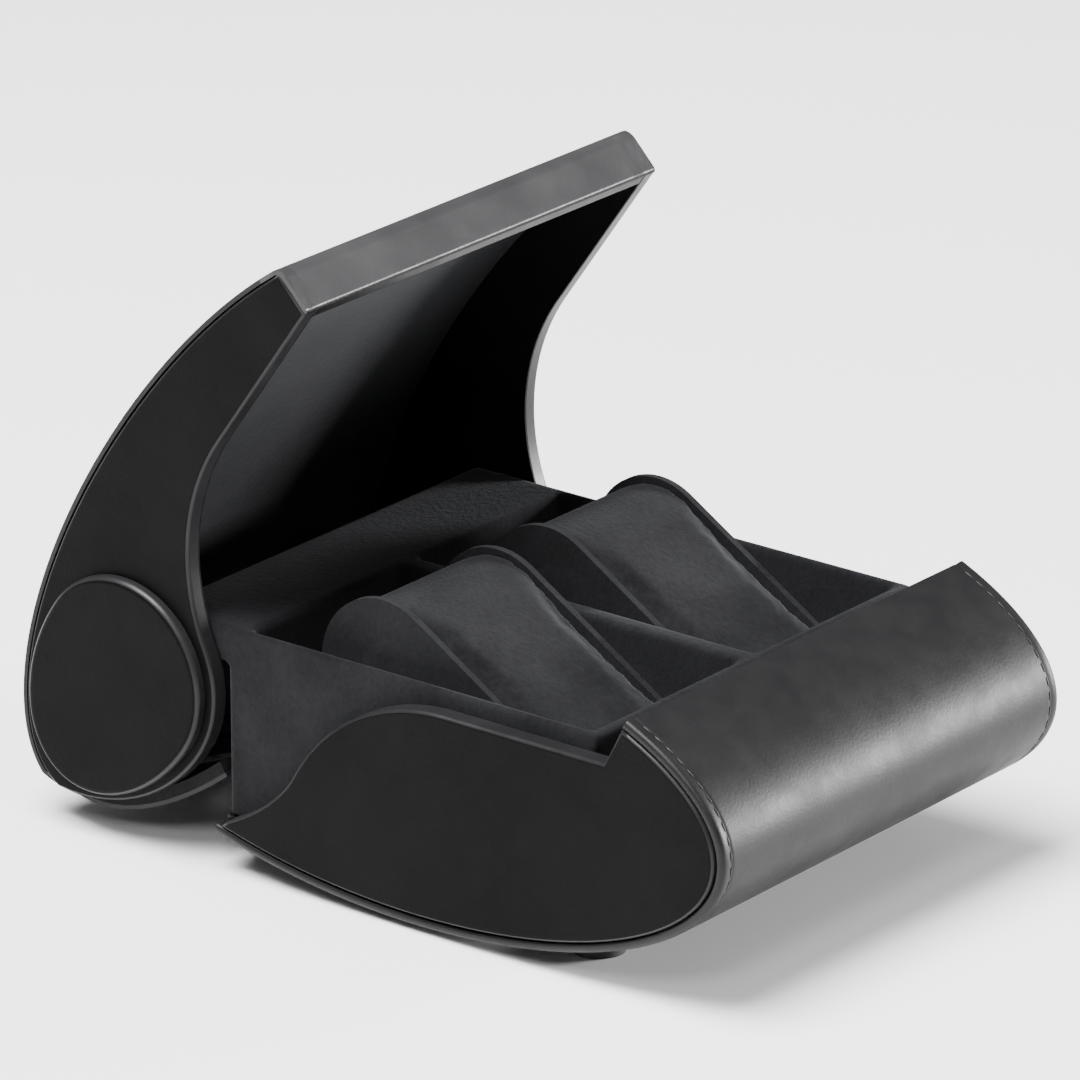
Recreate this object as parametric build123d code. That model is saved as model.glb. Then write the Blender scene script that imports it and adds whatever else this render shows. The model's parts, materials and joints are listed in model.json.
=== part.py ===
from build123d import *
import os
from math import asin, atan2, cos, degrees, hypot, radians, sin, sqrt, tan

# A leather watch box that opens like a shell. Millimetres and degrees. Seen from its side the closed
# box is an ellipse, and every outline below is drawn in that side view: f runs to the nose, z runs up,
# and both are zero at the ellipse's middle. The lid is drawn closed and then turned open on its hinge.

# Shell
LENGTH = 176.3
HEIGHT = 72.8
TILT = 1.64  # the ellipse's nose is a little lower than its back
WIDTH = 120.0  # over the side panels and the cheeks
SHELL_SET_IN = 0.4  # the shell's ends stand this far inside the side panels' faces

# Walls
BASE_LEATHER = 1.2
BASE_BOARD = 2.0
HEM = 1.0  # the base leather is doubled at its ends
LID_LEATHER = 1.0
LID_BOARD = 2.8
LINER = 1.0
PANEL = 4.2  # side panel or cheek, with its leather
PANEL_LEATHER = 0.7
LINING = 0.6  # inside of the cheeks
GROOVE = 0.3  # between a panel and the shell's edge
BOARD_GAP = 0.1  # between a bent board's end and the panel beside it

# Seam between the lid's cheeks and the base's side panels
NOTCH_FROM_BACK = 38.85
NOTCH_Z = 2.6
NOTCH_R = 26.0
NOTCH_TURN = 46.9  # the notch's round ends this far below level
SEAM_Z = 13.5
RISE_FROM_FRONT = 74.15
SEAM_GAP = 1.2
TAIL_FROM_BACK = 40.85
CHEEK_BACK_R = 42.0

# Front lips
LIP_FROM_FRONT = 31.15
BASE_LIP_LEAN = 27.0
LID_LIP_LEAN = 11.0
LIP_GAP = 0.5
BASE_LIP = 3.2
LIP_LEATHER = 0.9
LIP_CORE = 1.6
BASE_LIP_DEPTH = 9.0

# Raised round caps over the hinge end
CAP_PROUD = 2.6
CAP_R = 22.4
CAP_FRONT = 22.0
CAP_BACK = 32.6
CAP_EDGE = 1.4

# Hinge
HINGE_FROM_BACK = 27.61
HINGE_UP = 4.2  # above the shell's outside
OPEN_ANGLE = 54.58
HINGE_X = 24.0
HINGE_LENGTH = 26.0
LID_KNUCKLE = 12.0
PIN_R = 1.2
KNUCKLE_R = 2.5
PIN_CLEARANCE = 0.05
KNUCKLE_GAP = 0.3
LEAF = 1.2
LEAF_REACH = 13.0
LID_LEAF_REACH = 10.0
RIVET_R = 0.9
RIVET_HEAD_R = 1.9
RIVET_HEAD = 0.7
RIVET_GRIP = 2.0
RIVET_SPREAD = 16.0
LID_RIVET_FROM_BACK = 5.0
BASE_RIVET_UP = 9.0

# Lid's lower end
EDGE_END_Z = -3.0  # the shell's edge is full width above this
EAR = 9.2  # width of the two ears beside the hinges, where the middle is cut away
SHELL_END_FROM_BACK = 9.65
EAR_GAP = 0.45

# Tray
TRAY_TO_HINGE = 12.44
TRAY_SIDE_GAP = 0.4
RIM_Z = 17.2
TRAY_SIDE = 2.0
TRAY_WALL = 3.0
TRAY_BACK_WALL = 5.4
TRAY_FLOOR = 2.4
TRAY_FLOOR_GAP = 0.25
FLOOR_FRONT_BACK = 4.5  # the front wall leans back towards the floor by this
DIVIDER = 5.0
LEDGE = 8.1
LEDGE_DEPTH = 25.9
BEARER = 6.0
BEARER_X = 30.0
BEARER_HALF = 34.0
LIP_TO_TRAY = 0.9

# Watch cushions
CUSHION_SIDE_GAP = 4.95  # between a cushion and each side of its well
CUSHION_BACK_GAP = 14.7
CUSHION_FRONT_GAP = 3.5
CUSHION_NOSE = 24.34  # height of the front, where the slope meets it
CUSHION_TOP_GAP = 1.7  # to the closed lid's liner
CUSHION_TOP_R = 17.3
CUSHION_NOSE_R = 6.0
CUSHION_HEEL_R = 4.0
CUSHION_CLEARANCE = 0.3
SUEDE = 1.2
END_PANEL = 1.2

# Feet
FOOT_R = 6.0
FOOT_X = 42.0
FOOT_FRONT_F = 42.0
FOOT_BACK_F = -38.0
BELLY_F = 5.0  # lowest place of the tilted ellipse
BELLY_CLEARANCE = 1.4

FAR = 250.0  # longer than anything in the box

FRONT = LENGTH / 2
BACK = -LENGTH / 2
HALF = WIDTH / 2
SHELL_HALF = HALF - SHELL_SET_IN
INNER_HALF = HALF - PANEL
BOARD_HALF = INNER_HALF - BOARD_GAP
CUTOUT_HALF = BOARD_HALF - EAR
NOTCH_F = BACK + NOTCH_FROM_BACK
RISE_F = FRONT - RISE_FROM_FRONT
LIP_F = FRONT - LIP_FROM_FRONT
LIP_THICK = 2 * LIP_LEATHER + LIP_CORE
LID_WALL = LID_LEATHER + LID_BOARD
BASE_WALL = BASE_LEATHER + BASE_BOARD
TAIL_F = BACK + TAIL_FROM_BACK
HINGE_F = BACK + HINGE_FROM_BACK
SHELL_END_F = BACK + SHELL_END_FROM_BACK
LID_RIVET_F = BACK + LID_RIVET_FROM_BACK


def rise_radius():
    """Radius of the seam's rise, which meets the notch's round and the level seam smoothly."""
    across = RISE_F - NOTCH_F
    up = NOTCH_Z - SEAM_Z
    return (across**2 + up**2 - NOTCH_R**2) / (2 * (NOTCH_R - up))


RISE_R = rise_radius()
MEET = degrees(atan2(NOTCH_Z - (SEAM_Z - RISE_R), RISE_F - NOTCH_F))


def shell_z(f, inset=0.0, side=-1):
    """Height of the shell's outline at f, on its underside (-1) or its top (+1)."""
    a2, b2 = (LENGTH / 2 - inset) ** 2, (HEIGHT / 2 - inset) ** 2
    c, s = cos(radians(TILT)), sin(radians(TILT))
    square = s * s / a2 + c * c / b2
    middle = f * s * c * (1 / b2 - 1 / a2)
    rest = f * f * (c * c / a2 + s * s / b2) - 1
    return (-middle + side * sqrt(middle**2 - square * rest)) / square


HINGE_Z = shell_z(HINGE_F) + HINGE_UP


def outline(inset=0.0):
    """The box's side view, its skin taken off to a depth."""
    return Rot(0, 0, -TILT) * Ellipse(LENGTH / 2 - inset, HEIGHT / 2 - inset)


def strip(outer, inner):
    """A bent layer of the shell between two depths."""
    return outline(outer) - outline(inner)


def area(*points):
    return make_face(Polyline(*points, close=True))


def slab(face, x_low, x_high):
    """A side-view face given its thickness across the box."""
    plane = Plane(origin=(x_high, 0, 0), x_dir=(0, -1, 0), z_dir=(-1, 0, 0))
    return extrude(plane * face, amount=x_high - x_low)


def both_sides(face, x_low, x_high):
    return slab(face, x_low, x_high) + slab(face, -x_high, -x_low)


def lip_line(foot, lean, drop=0.0, height=FAR / 3):
    """Two points of a lip's face, from its foot upwards."""
    slope = tan(radians(lean))
    low = (foot - drop * slope, SEAM_Z - drop)
    high = (foot + height * slope, SEAM_Z + height)
    return low, high


def polar(centre, radius, turn):
    return (centre[0] + radius * cos(radians(turn)), centre[1] + radius * sin(radians(turn)))


NOTCH = (NOTCH_F, NOTCH_Z)
RISE = (RISE_F, SEAM_Z - RISE_R)


def base_side(inset=0.0):
    """What a base side panel may fill: everything under the seam."""
    notch_r, level = NOTCH_R + inset, SEAM_Z - inset
    low, high = lip_line(LIP_F + inset, BASE_LIP_LEAN, inset)
    start = polar(NOTCH, notch_r, -NOTCH_TURN)
    tail = (TAIL_F + inset, shell_z(TAIL_F, BASE_WALL) - inset)
    tangent = (-sin(radians(NOTCH_TURN)), -cos(radians(NOTCH_TURN)))
    flare = TangentArc(start, tail, tangent=tangent)
    notch = CenterArc(NOTCH, notch_r, -NOTCH_TURN, NOTCH_TURN - MEET)
    rise = CenterArc(RISE, RISE_R - inset, 180 - MEET, MEET - 90)
    rest = Polyline((RISE_F, level), low, high, (FAR, high[1]), (FAR, -FAR), (tail[0], -FAR), tail)
    return make_face([flare, notch, rise] + list(rest.edges()))


def lid_side(inset=0.0):
    """What a cheek may fill: everything over the seam, and round the hinge end."""
    step = SEAM_GAP + inset
    notch_r, level = NOTCH_R - step, SEAM_Z + step
    bottom = (NOTCH_F, NOTCH_Z - notch_r)
    back_r = CHEEK_BACK_R - inset
    back_centre = (NOTCH_F, NOTCH_Z - notch_r + back_r)
    foot = LIP_F - LIP_GAP - LIP_LEATHER - inset
    slope = tan(radians(LID_LIP_LEAN))
    low = (foot + step * slope, level)
    high = (foot + FAR / 3 * slope, SEAM_Z + FAR / 3)
    notch = CenterArc(NOTCH, notch_r, -90, 90 - MEET)
    rise = CenterArc(RISE, RISE_R + step, 180 - MEET, MEET - 90)
    corner = polar(back_centre, back_r, 180)
    rest = Polyline((RISE_F, level), low, high, (-FAR, high[1]), (-FAR, corner[1]), corner)
    back = CenterArc(back_centre, back_r, 180, 90)
    return make_face([notch, rise, back] + list(rest.edges()))


def base_shell_zone(set_in=0.0):
    """Where the base's bent layers run: from the tail, round the nose, up to the lip."""
    low, high = lip_line(LIP_F + set_in, BASE_LIP_LEAN)
    tail = TAIL_F - BASE_LEATHER + set_in
    inside = [(tail, NOTCH_Z - NOTCH_R + SEAM_Z), (low[0], 0), low, high]
    return area((tail, -FAR), *inside, (FAR, high[1]), (FAR, -FAR))


def under_shell(f, depth):
    """A point at a depth inside the shell's underside, and the direction straight out of it."""
    run = 0.5
    rise = shell_z(f + run) - shell_z(f)
    size = hypot(run, rise)
    out = (rise / size, -run / size)
    return (f - depth * out[0], shell_z(f) - depth * out[1]), out


def shell_end():
    """The lid's lower end: a point well inside the shell and the direction of the cut through it."""
    return under_shell(SHELL_END_F, 3 * LID_WALL)


def lid_wrap(set_in=0.0):
    """Where the lid's bent layers run at full width: from the lip over the top to the lower end."""
    inside, out = shell_end()
    foot = LIP_F - LIP_GAP - set_in
    slope = tan(radians(LID_LIP_LEAN))
    beyond = (inside[0] + FAR * out[0], inside[1] + FAR * out[1])
    top = (foot + FAR / 3 * slope, SEAM_Z + FAR / 3)
    return area(inside, (foot, SEAM_Z), top, (beyond[0], top[1]), beyond)


def ear_zone(gap=EAR_GAP):
    """Where the two ears run on under the hinge, ending on a round that swings clear of the tray."""
    inside, out = shell_end()
    beyond = (inside[0] + FAR * out[0], inside[1] + FAR * out[1])
    under = area(inside, beyond, (HINGE_F, beyond[1]), (HINGE_F, inside[1]))
    swing = Pos(HINGE_F, HINGE_Z) * Circle(TRAY_TO_HINGE - gap)
    return under + swing


def base_shell():
    """Bent board and its hemmed leather."""
    zone = base_shell_zone()
    leather = slab(strip(0, BASE_LEATHER) & zone, -SHELL_HALF, SHELL_HALF)
    hem = strip(BASE_LEATHER, BASE_LEATHER + HEM) & zone
    leather += both_sides(hem, BOARD_HALF, SHELL_HALF)
    board_zone = base_shell_zone(BASE_LEATHER) - lip_band(BASE_LIP_DEPTH)
    board = slab(strip(BASE_LEATHER, BASE_WALL) & board_zone, -BOARD_HALF, BOARD_HALF)
    return {"base_leather": leather, "base_board": board}


def lip_band(depth):
    """The base lip's thickness, in front of its face."""
    low, high = lip_line(LIP_F, BASE_LIP_LEAN, depth)
    return area(low, high, (high[0] + BASE_LIP, high[1]), (low[0] + BASE_LIP, low[1]))


def base_lip():
    """Covered strip that closes the back of the nose."""
    band = lip_band(BASE_LIP_DEPTH) & outline(BASE_LEATHER)
    return {"base_lip": slab(band, -BOARD_HALF, BOARD_HALF)}


def side_panels():
    """Each side panel of the base: a board in a leather cover that turns over its edges."""
    edge = BASE_LEATHER + HEM + GROOVE
    face = base_side() & outline(edge)
    core = base_side(PANEL_LEATHER) & outline(edge + PANEL_LEATHER)
    board = slab(core, INNER_HALF, HALF - PANEL_LEATHER)
    cover = slab(face, INNER_HALF, HALF) - board
    return mirrored("base_side", {"board": board, "cover": cover})


def cheeks():
    """Each cheek of the lid: lining, board and cover."""
    edge = LID_LEATHER + GROOVE
    face = lid_side() & outline(edge)
    core = lid_side(PANEL_LEATHER) & outline(edge + PANEL_LEATHER)
    lined = INNER_HALF + LINING
    lining = slab(face, INNER_HALF, lined)
    board = slab(core, lined, HALF - PANEL_LEATHER)
    cover = slab(face, lined, HALF) - board
    return mirrored("lid_cheek", {"lining": lining, "board": board, "cover": cover})


def caps():
    """A raised egg-shaped cap on each cheek."""
    centre = Pos(NOTCH_F, NOTCH_Z)
    front_half = area((0, -FAR), (FAR, -FAR), (FAR, FAR), (0, FAR))
    back_half = area((0, -FAR), (0, FAR), (-FAR, FAR), (-FAR, -FAR))
    egg = (Ellipse(CAP_FRONT, CAP_R) & front_half) + (Ellipse(CAP_BACK, CAP_R) & back_half)
    cap = slab(centre * egg, HALF, HALF + CAP_PROUD)
    outer = cap.faces().sort_by(Axis.X)[-1]
    cap = fillet(outer.edges(), CAP_EDGE)
    return {"lid_cap_right": cap, "lid_cap_left": mirror(cap, Plane.YZ)}


def mirrored(stem, layers):
    """The same layers on the right side and, as a mirror image, on the left."""
    made = {}
    for layer, solid in layers.items():
        made[f"{stem}_right_{layer}"] = solid
        made[f"{stem}_left_{layer}"] = mirror(solid, Plane.YZ)
    return made


def lid_shell():
    """Bent board, leather and liner. The board and leather go on under the hinge as two ears."""
    leather_face = strip(0, LID_LEATHER)
    wrap = lid_wrap(LIP_LEATHER)
    above = area((-FAR, EDGE_END_Z), (FAR, EDGE_END_Z), (FAR, FAR), (-FAR, FAR))
    leather = slab(leather_face & wrap, -BOARD_HALF, BOARD_HALF)
    leather += both_sides(leather_face & wrap & above, BOARD_HALF, SHELL_HALF)
    leather += both_sides(leather_face & ear_zone(), CUTOUT_HALF, BOARD_HALF)
    board_face = strip(LID_LEATHER, LID_WALL)
    board = slab(board_face & lid_wrap(LIP_LEATHER + LIP_CORE), -BOARD_HALF, BOARD_HALF)
    board += both_sides(board_face & ear_zone(), CUTOUT_HALF, BOARD_HALF)
    liner_zone = lid_wrap(LIP_THICK) & above
    liner_half = BOARD_HALF - TRAY_SIDE_GAP
    liner = slab(strip(LID_WALL, LID_WALL + LINER) & liner_zone, -liner_half, liner_half)
    return {"lid_leather": leather, "lid_board": board, "lid_liner": liner}


def lid_lip():
    """Leather-wrapped strip along the lid's front edge."""
    above = area((-FAR, SEAM_Z + SEAM_GAP), (FAR, SEAM_Z + SEAM_GAP), (FAR, FAR), (-FAR, FAR))
    over_core = Pos(0, LIP_LEATHER) * above
    facing = (lid_wrap() - lid_wrap(LIP_LEATHER)) & above & outline()
    whole = (lid_wrap(LIP_LEATHER) - lid_wrap(LIP_THICK)) & above & outline(LID_LEATHER)
    core = (lid_wrap(LIP_LEATHER) - lid_wrap(LIP_LEATHER + LIP_CORE)) & over_core & outline(LID_LEATHER)
    backing = whole - core - strip(LID_LEATHER, LID_WALL + LINER)
    cover = slab(facing, -HALF, HALF) + slab(backing, -BOARD_HALF, BOARD_HALF)
    return {"lid_lip_cover": cover, "lid_lip_core": slab(core, -BOARD_HALF, BOARD_HALF)}


TRAY_HALF = INNER_HALF - TRAY_SIDE_GAP
TRAY_REAR = HINGE_F + TRAY_TO_HINGE
WELL_REAR = TRAY_REAR + TRAY_BACK_WALL
FLOOR_LOW = shell_z(TRAY_REAR, BASE_WALL) + TRAY_FLOOR_GAP
FLOOR_TOP = FLOOR_LOW + TRAY_FLOOR
TRAY_FRONT = LIP_F - LIP_GAP - LIP_THICK / cos(radians(LID_LIP_LEAN)) - LIP_TO_TRAY


def tray_front_f(z, back=0.0):
    """The leaning front wall's place at a height."""
    return TRAY_FRONT - back - FLOOR_FRONT_BACK * (RIM_Z - z) / (RIM_Z - FLOOR_LOW)


def tray():
    """Suede-covered tray with two wells and a ledge that reaches back over the hinge."""
    inner = TRAY_HALF - TRAY_SIDE
    ledge_low = RIM_Z - LEDGE
    side = area(
        (TRAY_REAR, FLOOR_LOW),
        (TRAY_REAR, ledge_low),
        (WELL_REAR, ledge_low),
        (WELL_REAR, RIM_Z),
        (TRAY_FRONT, RIM_Z),
        (tray_front_f(FLOOR_LOW), FLOOR_LOW),
    )
    floor = area(
        (TRAY_REAR, FLOOR_LOW),
        (TRAY_REAR, FLOOR_TOP),
        (tray_front_f(FLOOR_TOP), FLOOR_TOP),
        (tray_front_f(FLOOR_LOW), FLOOR_LOW),
    )
    front = area(
        (tray_front_f(FLOOR_TOP), FLOOR_TOP),
        (TRAY_FRONT, RIM_Z),
        (TRAY_FRONT - TRAY_WALL, RIM_Z),
        (tray_front_f(FLOOR_TOP, TRAY_WALL), FLOOR_TOP),
    )
    back = area(
        (TRAY_REAR, FLOOR_TOP),
        (WELL_REAR, FLOOR_TOP),
        (WELL_REAR, ledge_low),
        (TRAY_REAR, ledge_low),
    )
    ledge_rear = WELL_REAR - LEDGE_DEPTH
    ledge = area((ledge_rear, ledge_low), (WELL_REAR, ledge_low), (WELL_REAR, RIM_Z), (ledge_rear, RIM_Z))
    divider = area(
        (WELL_REAR, FLOOR_TOP),
        (WELL_REAR, RIM_Z),
        (TRAY_FRONT - TRAY_WALL, RIM_Z),
        (tray_front_f(FLOOR_TOP, TRAY_WALL), FLOOR_TOP),
    )
    return {
        "tray_side_right": slab(side, inner, TRAY_HALF),
        "tray_side_left": slab(side, -TRAY_HALF, -inner),
        "tray_floor": slab(floor, -inner, inner),
        "tray_front_wall": slab(front, -inner, inner),
        "tray_back_wall": slab(back, -inner, inner),
        "tray_ledge": slab(ledge, -TRAY_HALF, TRAY_HALF),
        "tray_divider": slab(divider, -DIVIDER / 2, DIVIDER / 2),
    }


def bearers():
    """Shaped bearers that carry the flat tray in the round shell."""
    half, low = BEARER_HALF, FLOOR_LOW
    bearer = outline(BASE_WALL) & area((-half, -FAR), (half, -FAR), (half, low), (-half, low))
    low, high = BEARER_X - BEARER / 2, BEARER_X + BEARER / 2
    return {"tray_bearer_right": slab(bearer, low, high), "tray_bearer_left": slab(bearer, -high, -low)}


CUSHION_BACK = WELL_REAR + CUSHION_BACK_GAP
CUSHION_LOW = FLOOR_TOP + CUSHION_CLEARANCE


def cushion_face(inset=0.0):
    """A watch cushion's side: upright back, round top, long slope down to a low nose."""
    back, low = CUSHION_BACK + inset, CUSHION_LOW + inset
    peak_f = CUSHION_BACK + CUSHION_TOP_R
    top = shell_z(peak_f, LID_WALL + LINER, side=1) - CUSHION_TOP_GAP
    middle = (peak_f, top - CUSHION_TOP_R)
    front = tray_front_f(FLOOR_TOP, TRAY_WALL) - CUSHION_FRONT_GAP
    run, drop = front - middle[0], middle[1] - CUSHION_LOW - CUSHION_NOSE
    lean = atan2(drop, run) + asin(CUSHION_TOP_R / hypot(run, drop))
    reach = CUSHION_TOP_R - inset
    touch = (middle[0] + reach * sin(lean), middle[1] + reach * cos(lean))
    front -= inset
    corner = (front, touch[1] - (front - touch[0]) * tan(lean))
    peak = (back, touch[1] + (touch[0] - back) * tan(lean))
    face = area((back, low), peak, corner, (front, low))
    face = soften(face, peak, reach)
    face = soften(face, corner, CUSHION_NOSE_R - inset)
    face = soften(face, (back, low), CUSHION_HEEL_R - inset)
    return soften(face, (front, low), CUSHION_HEEL_R - inset)


def soften(face, corner, radius):
    """Rounds the corner of a face that is nearest to a point."""
    nearest = face.vertices().sort_by_distance((corner[0], corner[1], 0))[0]
    return fillet(nearest, radius)


def cushions():
    """Foam core, a suede wrap round it and a flat panel sewn in at each end."""
    low, high = DIVIDER / 2 + CUSHION_SIDE_GAP, TRAY_HALF - TRAY_SIDE - CUSHION_SIDE_GAP
    whole, core = cushion_face(), cushion_face(SUEDE)
    foam = slab(core, low + END_PANEL, high - END_PANEL)
    wrap = slab(whole - core, low, high)
    ends = slab(core, low, low + END_PANEL) + slab(core, high - END_PANEL, high)
    made = {}
    for layer, solid in {"foam": foam, "wrap": wrap, "ends": ends}.items():
        made[f"cushion_right_{layer}"] = solid
        made[f"cushion_left_{layer}"] = mirror(solid, Plane.YZ)
    return made


def strap(points, thick):
    """A plate bent along a path, seen from its edge, round at its bends and ends."""
    face = Pos(*points[0]) * Circle(thick / 2)
    for start, end in zip(points, points[1:]):
        run, rise = end[0] - start[0], end[1] - start[1]
        middle = ((start[0] + end[0]) / 2, (start[1] + end[1]) / 2)
        turn = degrees(atan2(rise, run))
        face += Pos(*middle) * Rot(0, 0, turn) * Rectangle(hypot(run, rise), thick)
        face += Pos(*end) * Circle(thick / 2)
    return face


def hinge_pieces():
    """Two hinges: a flat leaf on the tray's back wall and a leaf bent to the lid's board."""
    axis = (HINGE_F, HINGE_Z)
    bore = Pos(*axis) * Circle(PIN_R + PIN_CLEARANCE)
    pin_face = Pos(*axis) * Circle(PIN_R)
    eye = Pos(*axis) * Circle(KNUCKLE_R)
    clear = Pos(*axis) * Circle(KNUCKLE_R + KNUCKLE_GAP)
    plate_f = TRAY_REAR - LEAF / 2
    base_path = [axis, (plate_f, HINGE_Z), (plate_f, HINGE_Z + LEAF_REACH)]
    base_arm = strap(base_path, LEAF)
    low, _ = under_shell(SHELL_END_F, LID_WALL + LEAF / 2)
    lid_arm = strap([axis, low], LEAF) & outline(LID_WALL)
    lid_arm += strip(LID_WALL, LID_WALL + LEAF) & lid_wrap() & (Pos(*low) * Circle(LID_LEAF_REACH))
    made = {}
    for side, sign in (("right", 1), ("left", -1)):
        middle = sign * HINGE_X
        ends = (middle - HINGE_LENGTH / 2, middle + HINGE_LENGTH / 2)
        inner = (middle - LID_KNUCKLE / 2, middle + LID_KNUCKLE / 2)
        gap = (inner[0] - KNUCKLE_GAP, inner[1] + KNUCKLE_GAP)
        base = slab(base_arm, *ends) - slab(clear, *gap)
        base += slab(eye, ends[0], gap[0]) + slab(eye, gap[1], ends[1])
        lid = slab(lid_arm, *ends) - slab(clear, ends[0], inner[0]) - slab(clear, inner[1], ends[1])
        lid += slab(eye, *inner)
        made[f"hinge_base_leaf_{side}"] = base - slab(pin_face, *ends)
        made[f"hinge_lid_leaf_{side}"] = lid - slab(bore, *ends)
        made[f"hinge_pin_{side}"] = slab(pin_face, *ends)
    return made


def rivet(at, towards):
    """One rivet: its head on the leaf, its shank pointing into the board."""
    plane = Plane(origin=at, z_dir=towards)
    shank = plane * Pos(0, 0, (LEAF + RIVET_GRIP) / 2) * Cylinder(RIVET_R, LEAF + RIVET_GRIP)
    head = plane * Pos(0, 0, -RIVET_HEAD / 2) * Cylinder(RIVET_HEAD_R, RIVET_HEAD)
    return shank + head


def rivets():
    """Places of the rivets through the base leaves and through the lid leaves."""
    base, lid = [], []
    (head_f, head_z), out = under_shell(LID_RIVET_F, LID_WALL + LEAF)
    for sign in (-1, 1):
        for step in (-0.5, 0.5):
            x = sign * HINGE_X + step * RIVET_SPREAD
            z = HINGE_Z + BASE_RIVET_UP
            base.append(rivet((x, -(TRAY_REAR - LEAF), z), (0, -1, 0)))
            lid.append(rivet((x, -head_f, head_z), (0, -out[0], out[1])))
    return base, lid


def feet():
    """Four low feet, cut to the round underside. Their bottoms are just below the belly."""
    ground = shell_z(BELLY_F) - BELLY_CLEARANCE
    made = {}
    for end, f in (("front", FOOT_FRONT_F), ("back", FOOT_BACK_F)):
        for side, sign in (("right", 1), ("left", -1)):
            tall = HEIGHT / 2
            foot = Pos(sign * FOOT_X, -f, ground + tall / 2) * Cylinder(FOOT_R, tall)
            made[f"foot_{end}_{side}"] = foot - slab(outline(), -HALF, HALF)
            made[f"foot_{end}_{side}"] = lowest(made[f"foot_{end}_{side}"])
    return made


def lowest(solid):
    return solid.solids().sort_by(Axis.Z)[0]


def closed_box():
    """Every piece of the box with its lid shut, by body."""
    base = base_shell() | base_lip() | side_panels() | tray() | bearers() | feet()
    lid = lid_shell() | lid_lip() | cheeks() | caps()
    for name, solid in hinge_pieces().items():
        (lid if "lid_leaf" in name else base)[name] = solid
    base_rivets, lid_rivets = rivets()
    base["hinge_base_rivets"] = Compound(children=base_rivets)
    lid["hinge_lid_rivets"] = Compound(children=lid_rivets)
    for one in base_rivets:
        for side in ("left", "right"):
            base[f"hinge_base_leaf_{side}"] -= one
        base["tray_back_wall"] -= one
    for one in lid_rivets:
        for side in ("left", "right"):
            lid[f"hinge_lid_leaf_{side}"] -= one
        lid["lid_board"] -= one
    return base, lid


def main():
    os.makedirs("parts", exist_ok=True)
    base, lid = closed_box()
    axis = Axis((0, -HINGE_F, HINGE_Z), (1, 0, 0))
    pieces = base | cushions()
    for name, solid in lid.items():
        pieces[name] = solid.rotate(axis, -OPEN_ANGLE)
    box = Compound(children=[Compound(list(p.solids())) for p in pieces.values()]).bounding_box()
    move = Pos(0, -(box.min.Y + box.max.Y) / 2, -box.min.Z)
    for name, solid in pieces.items():
        placed = move * solid
        placed.label = name
        export_step(placed, f"parts/{name}.step")
    hinge = move.position + Vector(0, -HINGE_F, HINGE_Z)
    print("hinge axis at", round(hinge.Y, 3), round(hinge.Z, 3))
    print("middle of the closed shell at", round(move.position.Y, 3), round(move.position.Z, 3))
    print("box", box.size)


main()
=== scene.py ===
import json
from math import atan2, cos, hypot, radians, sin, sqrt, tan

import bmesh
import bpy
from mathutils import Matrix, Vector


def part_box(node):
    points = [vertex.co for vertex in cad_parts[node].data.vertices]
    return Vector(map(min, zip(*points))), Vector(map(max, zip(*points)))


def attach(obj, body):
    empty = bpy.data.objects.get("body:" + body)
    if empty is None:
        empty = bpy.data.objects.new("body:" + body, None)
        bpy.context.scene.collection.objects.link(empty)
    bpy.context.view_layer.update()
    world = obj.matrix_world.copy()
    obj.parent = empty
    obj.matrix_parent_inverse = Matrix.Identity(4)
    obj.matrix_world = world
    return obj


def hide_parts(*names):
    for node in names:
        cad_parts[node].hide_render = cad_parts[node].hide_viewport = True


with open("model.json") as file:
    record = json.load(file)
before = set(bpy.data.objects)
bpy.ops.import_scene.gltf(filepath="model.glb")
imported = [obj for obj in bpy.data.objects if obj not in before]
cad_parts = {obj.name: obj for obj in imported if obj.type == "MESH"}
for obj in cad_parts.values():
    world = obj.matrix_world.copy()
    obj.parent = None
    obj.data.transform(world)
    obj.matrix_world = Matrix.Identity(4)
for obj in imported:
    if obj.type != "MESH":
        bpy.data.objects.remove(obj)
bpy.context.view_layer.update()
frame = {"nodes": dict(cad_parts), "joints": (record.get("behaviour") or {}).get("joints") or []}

# %% [markdown]
# A leather watch box that opens like a shell. The working model is loaded above as a fixed frame: its
# nodes say where every piece sits and how the lid and the two cushions move. This lesson dresses that
# frame: leather over bent board, suede inside, soft cushions, thread and steel.
# The box is drawn as its maker would draw it, shut, in a side view. F runs to the nose and Z runs up from
# the middle of its oval outline. A piece of the lid is drawn shut too, and then turned open on its hinge.

MM = 0.001
scene = bpy.context.scene
hinge = Vector(next(j for j in frame["joints"] if j["name"] == "lid_hinge")["pos_m"])
print("pieces in the frame:", len(frame["nodes"]), "hinge at", [round(c / MM, 2) for c in hinge])

# %% [markdown]
# The oval: seen from its side the shut box is an ellipse, tipped a little so that its nose is lower than
# its back. The other sizes are the walls, the places of the two lips and the seam. They are the frame's own
# sizes, and the shells, the lid's lip and the thread are drawn from them. Most other pieces are cut or
# wrapped from the frame's nodes, so their outlines are already in the frame.

# %% Driving sizes
LENGTH, HEIGHT, TILT = 176.3 * MM, 72.8 * MM, radians(1.64)
HALF = 60.0 * MM
SHELL_HALF = 59.6 * MM
BOARD_HALF = 55.7 * MM
PANEL = 4.2 * MM
BASE_LEATHER, HEM = 1.2 * MM, 1.0 * MM
LID_LEATHER = 1.0 * MM
SEAM_Z, LIP_F = 13.5 * MM, LENGTH / 2 - 31.15 * MM
BASE_LIP_LEAN, LID_LIP_LEAN = radians(27.0), radians(11.0)
LIP_GAP = 0.5 * MM
TAIL_F = -LENGTH / 2 + 40.85 * MM - BASE_LEATHER
HINGE_F = -LENGTH / 2 + 27.61 * MM
OPEN = radians(54.58)
MIDDLE = Vector((0, hinge.y + HINGE_F, 37.872 * MM))
print("middle of the shut oval at", [round(c / MM, 2) for c in MIDDLE])

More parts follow.
